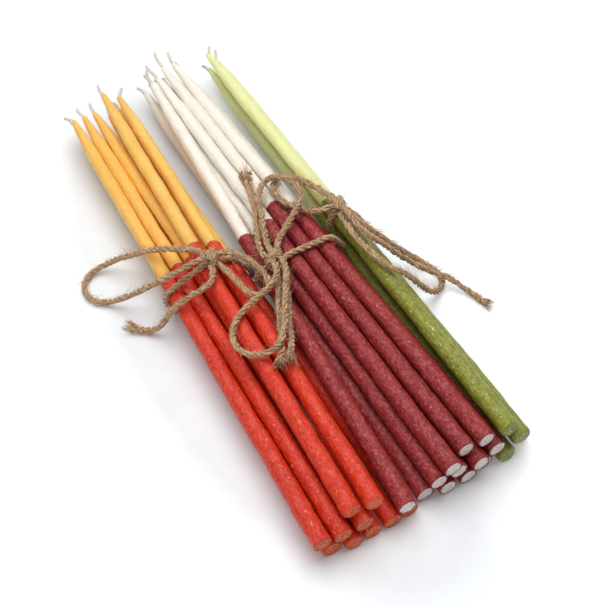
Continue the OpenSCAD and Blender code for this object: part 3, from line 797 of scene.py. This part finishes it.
class Nodes:
    """The node tree of a material or a world, with short ways to add and join nodes."""

    def __init__(self, owner, shader="Principled BSDF"):
        owner.use_nodes = True
        self.owner = owner
        self.tree = owner.node_tree
        self.shader = self.tree.nodes[shader]

    def add(self, kind, inputs=None, **settings):
        """A new node with its inputs and settings."""
        made = self.tree.nodes.new("ShaderNode" + kind)
        for key, value in settings.items():
            setattr(made, key, value)
        for key, value in (inputs or {}).items():
            self.give(made, key, value)
        return made

    def give(self, made, key, value):
        """Links an input to a socket, or sets it to a constant."""
        if isinstance(value, bpy.types.NodeSocket):
            self.tree.links.new(value, made.inputs[key])
        else:
            made.inputs[key].default_value = value

    def set(self, **inputs):
        """Inputs of the shader, named with an underscore for a space."""
        for key, value in inputs.items():
            self.give(self.shader, key.replace("_", " "), value)

    def attribute(self, name, output="Fac"):
        """A named value of the mesh."""
        return self.add("Attribute", attribute_name=name).outputs[output]

    def noise(self, vector, scale, detail, roughness=0.6):
        """Noise, from nought to one."""
        inputs = {"Vector": vector, "Scale": scale, "Detail": detail, "Roughness": roughness}
        return self.add("TexNoise", inputs).outputs["Fac"]

    def stretch(self, vector, scale, shift=(0, 0, 0)):
        """Texture places, scaled and then shifted."""
        made = self.add("Mapping", {"Vector": vector, "Scale": scale, "Location": shift})
        return made.outputs["Vector"]

    def between(self, value, low, high, to_low, to_high):
        """A value carried from one range over to another, and kept within it."""
        inputs = {"Value": value, "From Min": low, "From Max": high, "To Min": to_low, "To Max": to_high}
        return self.add("MapRange", inputs).outputs["Result"]

    def calc(self, operation, first, second):
        """A sum, product or the like of two values."""
        return self.add("Math", {0: first, 1: second}, operation=operation).outputs[0]

    def seen_by(self, first, second):
        """One for either of two kinds of ray, and nought for the others."""
        path = self.add("LightPath").outputs
        return self.calc("MAXIMUM", path[first], path[second])

    def mix(self, share, first, second):
        """Two colours mixed. The node has them in its inputs 6 and 7, and the mixed one in its output 2."""
        return self.add("Mix", {0: share, 6: first, 7: second}, data_type="RGBA").outputs[2]

    def tint(self, colour, value, limits, amount, other):
        """A colour that goes over to another, by up to an amount, as a value goes between its limits."""
        return self.mix(self.between(value, *limits, 0.0, amount), colour, other)

    def bump(self, height, strength, distance):
        """A normal for relief of a depth in millimetres."""
        made = self.add("Bump", {"Height": height, "Strength": strength, "Distance": distance * MM})
        return made.outputs["Normal"]


# Each wax: its colour with a deeper and a paler one, what may lie on it, painted highlights, the colours of
# its end, its skin. Fleck is the strength of the grain, and bleed how far red, green and blue light go, in
# shares of the depth.
# The glints are painted highlights: pale specks of the speck colour, which is also the colour of the pale
# crumbs on a cut end.
WAX_LOOKS = {
    "apricot_wax": dict(
        base=(254, 202, 108), deep=(246, 164, 64), pale=(253, 213, 138), fleck=0.25,
        cut=(228, 88, 42), crumb=(184, 40, 22), speck_and_glint=(252, 176, 84),
        gloss=0.44, scatter=0.75, depth=3.2, bleed=(1.0, 0.45, 0.14),
    ),
    "ivory_wax": dict(
        base=(250, 243, 231), deep=(243, 230, 213), pale=(251, 247, 240), fleck=0.2,
        cut=(254, 236, 228), crumb=(204, 136, 128), speck_and_glint=(255, 250, 246),
        gloss=0.44, scatter=0.4, depth=2.0, bleed=(1.0, 0.8, 0.64),
    ),
    "lime_wax": dict(
        base=(236, 238, 178), deep=(230, 233, 146), pale=(242, 243, 206), fleck=0.2,
        gloss=0.44, scatter=0.7, depth=3.4, bleed=(0.95, 1.0, 0.4),
    ),
    "orange_red_wax": dict(
        base=(219, 49, 20), deep=(178, 15, 16), pale=(244, 108, 62), fleck=0.5,
        bloom=0.4, spots=0.4, spot=(160, 10, 14), painted_glints=0.8, speck_and_glint=(252, 146, 110),
        cut=(240, 96, 38), crumb=(204, 42, 22),
        gloss=0.38, scatter=0.1, depth=0.8, bleed=(1.0, 0.4, 0.3),
    ),
    "burgundy_wax": dict(
        base=(154, 38, 42), deep=(106, 4, 14), pale=(206, 108, 100), fleck=0.55,
        bloom=0.3, spots=0.85, spot=(126, 0, 14), painted_glints=0.6, speck_and_glint=(218, 140, 130),
        gloss=0.46, scatter=0.05, depth=0.8, bleed=(1.0, 0.4, 0.3),
    ),
    "olive_wax": dict(
        base=(142, 143, 46), deep=(86, 96, 16), pale=(190, 192, 98), fleck=0.55,
        bloom=0.3, spots=0.5, spot=(90, 100, 20), painted_glints=0.9, speck_and_glint=(214, 218, 146),
        cut=(124, 132, 42), crumb=(80, 92, 18),
        gloss=0.38, scatter=0.1, depth=0.8, bleed=(0.9, 1.0, 0.4),
    ),
}
WAX_COLOURS = ("base", "deep", "pale", "spot", "speck_and_glint", "cut", "crumb")
WAX_IOR = 1.44
WAX_RELIEF = 0.26
DENT_SHARE = 1.8
SHINE = 0.18
DULL = 0.16

# Textures of wax: how they are drawn out along the candle, and scale, detail and roughness of the noise.
WAX_NOISE = {
    "clouds": (0.3, 0.28, 4, 0.6),
    "grain": (0.7, 1.1, 6, 0.75),
    "dents": (0.55, 0.55, 3, 0.5),
    "mist": (0.4, 0.7, 6, 0.75),
    "pits": (1, 0.62, 2, 0.4),
    # The noise that places the painted highlight specks.
    "glint_noise": (0.7, 1.0, 3, 0.6),
    "crumbs": (1, 1.3, 4, 0.7),
}

# Values of the textures between which a tint or the gloss sets in, and the strength of tints not in a look.
TONES = (-1, 1)
TONE_SHARE = 0.3
CLOUDS = (0.5, 0.75)
CLOUD_SHARE = 0.5
DEEP_GRAIN = (0.5, 0.36)
PALE_GRAIN = (0.5, 0.66)
GLOSS_GRAIN = (0.35, 0.65)
MIST = (0.5, 0.75)
PITS = (0.655, 0.685)
# Levels of that noise between which the painted highlight specks set in.
GLINT_LEVELS = (0.64, 0.69)
PALE_CRUMBS = (0.5, 0.6)
PALE_CRUMB_SHARE = 0.7
DARK_CRUMBS = (0.47, 0.39)
DARK_CRUMB_SHARE = 0.6


def wax_material(name):
    """Satin wax: clouded and grained, some with dark spots, a pale bloom and painted highlight specks,
    uneven in gloss and level.
    """
    look = WAX_LOOKS[name]
    colours = {key: linear(*look[key]) for key in WAX_COLOURS if key in look}
    deep = colours["deep"]
    pale = colours["pale"]
    gloss = look["gloss"]
    n = Nodes(bpy.data.materials.new(name))
    lay = n.attribute("lay", "Vector")

    def texture(kind):
        drawn, scale, detail, roughness = WAX_NOISE[kind]
        return n.noise(n.stretch(lay, (drawn, 1, 1)), scale, detail, roughness)

    grain = texture("grain")
    colour = n.tint(colours["base"], n.attribute("tone"), TONES, TONE_SHARE, deep)
    colour = n.tint(colour, texture("clouds"), CLOUDS, CLOUD_SHARE, deep)
    colour = n.tint(colour, grain, DEEP_GRAIN, look["fleck"], deep)
    colour = n.tint(colour, grain, PALE_GRAIN, look["fleck"], pale)
    if "bloom" in look:
        colour = n.tint(colour, texture("mist"), MIST, look["bloom"], pale)
    if "spots" in look:
        colour = n.tint(colour, texture("pits"), PITS, look["spots"], colours["spot"])
    # Painted highlights: pale specks that stand in for small highlights.
    if "painted_glints" in look:
        colour = n.tint(colour, texture("glint_noise"), GLINT_LEVELS, look["painted_glints"], colours["speck_and_glint"])
    if "cut" in look:
        crumbs = texture("crumbs")
        # The pale crumbs of a cut end take the speck colour too.
        end = n.tint(colours["cut"], crumbs, PALE_CRUMBS, PALE_CRUMB_SHARE, colours["speck_and_glint"])
        end = n.tint(end, crumbs, DARK_CRUMBS, DARK_CRUMB_SHARE, colours["crumb"])
        colour = n.mix(n.attribute("cut"), colour, end)
    level = n.calc("ADD", n.between(texture("dents"), 0, 1, 0, DENT_SHARE), grain)
    n.set(
        Base_Color=colour,
        Roughness=n.between(grain, *GLOSS_GRAIN, gloss + DULL, gloss - SHINE),
        IOR=WAX_IOR,
        Subsurface_Weight=look["scatter"],
        Subsurface_Radius=look["bleed"],
        Subsurface_Scale=look["depth"] * MM,
        Normal=n.bump(level, 1.0, WAX_RELIEF),
    )
    return n.owner


# Colours and noise of the twine and of the wicks. Noise is scale and detail, and roughness where given.
JUTE_FIBRES = (2.6, 4, 0.65)
JUTE_BLOTCHES = (0.5, 3)
JUTE_BROWN = linear(116, 75, 44)
JUTE_PALE = linear(253, 216, 170)
JUTE_BLOTCH = linear(176, 126, 82)
JUTE_STRAW = linear(224, 184, 136)
JUTE_RELIEF = 0.28
COTTON_FIBRES = (2.2, 4)
COTTON_SHADE = linear(206, 194, 176)
COTTON_PALE = linear(240, 234, 222)
COTTON_RELIEF = 0.08
COTTON_DEPTH = 0.6


def jute_material():
    """Dry jute: pale fibres along each ply, brown between them."""
    n = Nodes(bpy.data.materials.new("jute_twine"))
    lay = n.attribute("lay", "Vector")
    fibres = n.noise(lay, *JUTE_FIBRES)
    colour = n.tint(JUTE_BROWN, fibres, (0.42, 0.6), 1.0, JUTE_PALE)
    colour = n.tint(colour, n.noise(lay, *JUTE_BLOTCHES), (0.5, 0.75), 0.5, JUTE_BLOTCH)
    colour = n.tint(colour, n.attribute("tone"), TONES, 0.25, JUTE_STRAW)
    n.set(Base_Color=colour, Roughness=0.82, Normal=n.bump(fibres, 1.0, JUTE_RELIEF))
    n.set(Sheen_Weight=0.15, Sheen_Roughness=0.5)
    return n.owner


def wick_material():
    """Cotton yarn stiff with wax."""
    n = Nodes(bpy.data.materials.new("waxed_cotton"))
    fibres = n.noise(n.attribute("lay", "Vector"), *COTTON_FIBRES)
    colour = n.tint(COTTON_SHADE, fibres, (0.35, 0.65), 1.0, COTTON_PALE)
    n.set(Base_Color=colour, Roughness=0.55, Normal=n.bump(fibres, 0.5, COTTON_RELIEF))
    n.set(Subsurface_Weight=0.15, Subsurface_Scale=COTTON_DEPTH * MM)
    return n.owner


# Floor, in metres. The camera and reflections see it glow, though it is no lamp: painted light, faint and
# even
# near the part and over its shadows. This lift to white grows away from the part, by the size of ovals round
# it:
# in one rise where the shadows end and one far out. Each goes from one size to another, and from one light
# to another.
FLOOR_HALF = 3.0
FLOOR_GRAIN = (60, 2)
FLOOR_SHADE = linear(230, 233, 236)
FLOOR_PALE = linear(233, 236, 239)
OVAL_STRETCH = (2.5, 1, 1)
OVAL_SHIFT = (0.026, 0.012, 0)
NEAR_LIFT = (0.115, 0.158, 0.04, 0.33)
FAR_LIFT = (0.5, 3.0, 0.0, 0.75)
WHITE = (1, 1, 1, 1)


def floor_material():
    """Pale floor that keeps the shadows: the camera and reflections see it glow, painted light that is faint
    near the part and lifts it to a clear white away from it.
    """
    n = Nodes(bpy.data.materials.new("white_floor"))
    place = n.add("TexCoord").outputs["Object"]
    grain = n.noise(place, *FLOOR_GRAIN)
    oval = n.stretch(place, OVAL_STRETCH, OVAL_SHIFT)
    away = n.add("VectorMath", {0: oval}, operation="LENGTH").outputs["Value"]
    # The painted glow: faint near the part, stronger where its shadows end and beyond.
    lift = n.calc("ADD", n.between(away, *NEAR_LIFT), n.between(away, *FAR_LIFT))
    n.set(
        Base_Color=n.tint(FLOOR_SHADE, grain, (0.4, 0.6), 1.0, FLOOR_PALE),
        Roughness=0.9,
        Emission_Color=WHITE,
        Emission_Strength=n.calc("MULTIPLY", n.seen_by("Is Camera Ray", "Is Glossy Ray"), lift),
    )
    return n.owner


JUTE = jute_material()
COTTON = wick_material()
WAX = {name: wax_material(name) for name in WAX_LOOKS}
WAX_SLOT = {"orange": "apricot_wax", "burgundy": "ivory_wax", "green": "lime_wax"}
DIP_SLOT = {"orange": "orange_red_wax", "burgundy": "burgundy_wax", "green": "olive_wax"}


# Pieces.

def mount(piece, body, slot, *nodes):
    """A piece set on its body, in place of the CAD nodes that it dresses. The slot is not used."""
    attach(piece, body)
    if nodes:
        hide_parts(*nodes)
    return piece


# How far each wick leans to the side and up, and how far it reaches along its candle, by place in a bundle.
WICKS = {
    "orange": [
        (-0.8, 0.6, 4.5), (0.5, 0.5, 5), (-0.5, 0.8, 5), (0.6, 0.4, 4.5), (-0.6, 0.9, 4.5),
        (-2.1, 0.2, 3.6), (-0.6, 0.4, 5.5), (0.3, 0.7, 5.2), (-0.3, 0.3, 5.4), (2.4, 0.6, 4.2),
    ],
    "burgundy": [
        (-1.8, 0.6, 4), (-1.2, 0.9, 4.5), (0.8, 0.6, 5), (-0.6, 0.3, 6), (1.2, 0.8, 8), (-2.4, 0.2, 2.6),
        (-2.2, 0.4, 2.8), (0.6, 0.9, 5.5), (-0.9, 0.5, 6), (-0.8, 0.4, 8.6), (0.7, 0.5, 9), (0.8, 0.3, 7),
    ],
    "green": [(-1.8, 0.3, 3.8), (2.4, 0.8, 4.6), (2.6, 0.6, 3.2), (-0.9, 0.5, 4.8)],
}

# The yarn of a wick: plies of this radius, how far they lie off its line, their lay, and how they thin out.
WICK_STEPS = 26
WICK_SUNK = 1
WICK_PLY_R = 0.4
WICK_LAY_R = 0.3
WICK_PITCH = 3.4
WICK_THINS = 0.2
WICK_DRAWN = 0.3

# Its bend, which grows from the tip on, and its snaking, in millimetres and radians.
WICK_LEAN = 0.35
WICK_BOW = 0.65
WICK_SNAKE = 0.3
WICK_SNAKE_TURN = 6


def add_wick(shape, candle, lean):
    """A twisted waxed yarn that leaves the tip and bends."""
    lean_side, lean_up, reach = lean
    t = np.linspace(0, 1, WICK_STEPS)[:, None]
    start = candle.foot + candle.along * (WAX_LEN - WICK_SUNK)
    bend = candle.side * lean_side + candle.up * lean_up
    line = start + candle.along * (reach + WICK_SUNK) * t + bend * (WICK_LEAN * t + WICK_BOW * t ** 2)
    line += candle.side * WICK_SNAKE * np.sin(WICK_SNAKE_TURN * t + candle.number) * t
    ahead, side, up = carried(line)
    across = ring_round(side, up, PLY_SIDES)
    walked = t[:, 0] * (reach + WICK_SUNK)
    thick = WICK_PLY_R * (1 - WICK_THINS * t[:, 0] ** 2)
    for ply in range(PLIES):
        turn = FULL_TURN * (walked / WICK_PITCH + ply / PLIES)
        centre = line + WICK_LAY_R * swung(turn, side, up)
        lay = ply_lay(walked, turn, WICK_DRAWN, 1.0) + candle.shift
        grid = centre[:, None] + thick[:, None, None] * across
        shape.add_grid(grid, {"lay": lay, "tone": candle.tone}, cap_start=True, cap_end=True)


def make_candles(bundle, candles):
    """The wax, overdips and wicks of a bundle, group by group."""
    for group in GROUPS[bundle]:
        wax = Shape()
        dip = Shape()
        wick = Shape()
        for place, candle in enumerate(candles):
            if candle.group == group:
                add_wax(wax, candle)
                add_dip(dip, candle)
                add_wick(wick, candle, WICKS[bundle][place])
        inner = WAX_SLOT[bundle]
        outer = DIP_SLOT[bundle]
        mount(wax.make(group + "_bare_wax", WAX[inner]), group, inner, group + "_wax")
        mount(dip.make(group + "_overdip", WAX[outer]), group, outer, group + "_dip")
        mount(wick.make(group + "_wick_yarn", COTTON), group, "cotton", group + "_wick")


# How far the plies part at the end of each tail, in times their lay.
TAILS = {
    "orange_tail": 1.4, "burgundy_upper_tail": 2.6, "burgundy_tail_left": 1.3, "burgundy_tail_right": 1.3,
    "green_tail": 1.4,
}


def make_cord(name, number):
    """A free loop or tail of twine with its own loose fibres."""
    bundle = name.split("_")[0]
    random = np.random.default_rng(SEED + CORD_SEED + number)
    line = smooth(ROUTES[name], ROPE_STEP)
    tail = name in TAILS
    rope = Shape()
    add_rope(rope, line, random, parted=TAILS.get(name, 0.0))
    fuzz = Shape()
    add_fuzz(fuzz, line, random, above, CORD_HAIRS)
    if tail:
        add_fray(fuzz, line, random)
    body = bundle + "_bundle"
    piece = mount(rope.make(name + "_twine", JUTE), body, "jute", name)
    hairs = mount(fuzz.make(name + "_fibres", JUTE), body, "jute")


# Knots whose turns run along the candles and not across them, and how far round a tie its run is measured.
KNOTS_ALONG = {"burgundy"}
RUN_STEPS = 3


def make_tie(bundle, candles, number):
    """The twine round a bundle and the knot that holds it."""
    random = np.random.default_rng(SEED + TIE_SEED + number)
    low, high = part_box(bundle + "_knot")
    centre = (np.array(low) + np.array(high)) / 2 / MM
    ring = tie_line(candles, centre[1])
    middle = ring.mean(axis=0)
    nearest = int(np.argmin(np.linalg.norm(ring - centre, axis=1)))
    axis = unit(ring[(nearest - RUN_STEPS) % len(ring)] - ring[(nearest + RUN_STEPS) % len(ring)])
    front = TO_BUTTS
    if bundle in KNOTS_ALONG:
        axis, front = front, axis
    body = bundle + "_bundle"
    rope = Shape()
    add_rope(rope, ring, random, closed=True)
    mount(rope.make(bundle + "_tie_twine", JUTE), body, "jute", bundle + "_wrap")
    knot = Shape()
    fuzz = Shape()
    add_fuzz(fuzz, ring, random, lambda point: unit((point - middle) * IN_TIE), TIE_HAIRS)
    for line in knot_lines(centre, axis, front):
        add_rope(knot, line, random)
        add_fuzz(fuzz, line, random, above, KNOT_HAIRS)
    mount(knot.make(bundle + "_knot_twine", JUTE), body, "jute", bundle + "_knot")
    mount(fuzz.make(bundle + "_tie_fibres", JUTE), body, "jute")


# Stage.

def aim(thing, back):
    """Turns a camera or lamp to look against a direction."""
    thing.rotation_mode = "QUATERNION"
    thing.rotation_quaternion = (-back).to_track_quat("-Z", "Y")


def make_camera():
    """The camera, set and turned as the photograph was taken."""
    azimuth = math.radians(CAMERA_AZIMUTH)
    elevation = math.radians(CAMERA_ELEVATION)
    back = Vector((
        math.sin(azimuth) * math.cos(elevation),
        -math.cos(azimuth) * math.cos(elevation),
        math.sin(elevation),
    ))
    data = bpy.data.cameras.new("camera")
    data.lens = CAMERA_LENS
    data.sensor_width = CAMERA_SENSOR
    data.clip_start, data.clip_end = CAMERA_CLIP
    camera = add_object("camera", data)
    camera.location = (Vector(CAMERA_TARGET) + back * CAMERA_DISTANCE) * MM
    aim(camera, back)
    bpy.context.scene.camera = camera


def make_floor():
    """One flat face, which is stage and no piece of the part."""
    near, far = -FLOOR_HALF, FLOOR_HALF
    mesh = bpy.data.meshes.new("floor")
    mesh.from_pydata([(near, near, 0), (far, near, 0), (far, far, 0), (near, far, 0)], [], [(0, 1, 2, 3)])
    mesh.materials.append(floor_material())
    floor = add_object("floor", mesh)


# Lamps: place and side in metres, and power. A broad one overhead, and a weak one by the camera's left.
LAMPS = {
    "overhead": ((0.13, 0.24, 0.94), 1.0, 10.8),
    "fill": ((-0.5, -0.34, 0.46), 0.8, 1.65),
}
# Strength of the world's light on the part, and as the camera sees it, straight or through something clear.
WORLD_LIGHT = 0.16
WORLD_SEEN = 1.0


def make_lamps():
    """Square lamps that look at the middle of the frame."""
    for name, (place, side, power) in LAMPS.items():
        data = bpy.data.lights.new(name, "AREA")
        data.shape = "SQUARE"
        data.size = side
        data.energy = power
        lamp = add_object(name, data)
        lamp.location = place
        aim(lamp, Vector(place))


def make_world():
    """An even light from all round, which looks brighter than it shines."""
    world = bpy.data.worlds.new("studio")
    bpy.context.scene.world = world
    n = Nodes(world, "Background")
    seen = n.seen_by("Is Camera Ray", "Is Transmission Ray")
    n.set(Color=WHITE, Strength=n.between(seen, 0, 1, WORLD_LIGHT, WORLD_SEEN))


make_camera()
for place, cord_name in enumerate(ROUTES):
    make_cord(cord_name, place)
bundles = read_candles()
for place, (bundle_name, bundle_candles) in enumerate(bundles.items()):
    make_candles(bundle_name, bundle_candles)
    make_tie(bundle_name, bundle_candles, place)
make_floor()
make_lamps()
make_world()
bpy.context.scene.view_settings.view_transform = "Standard"
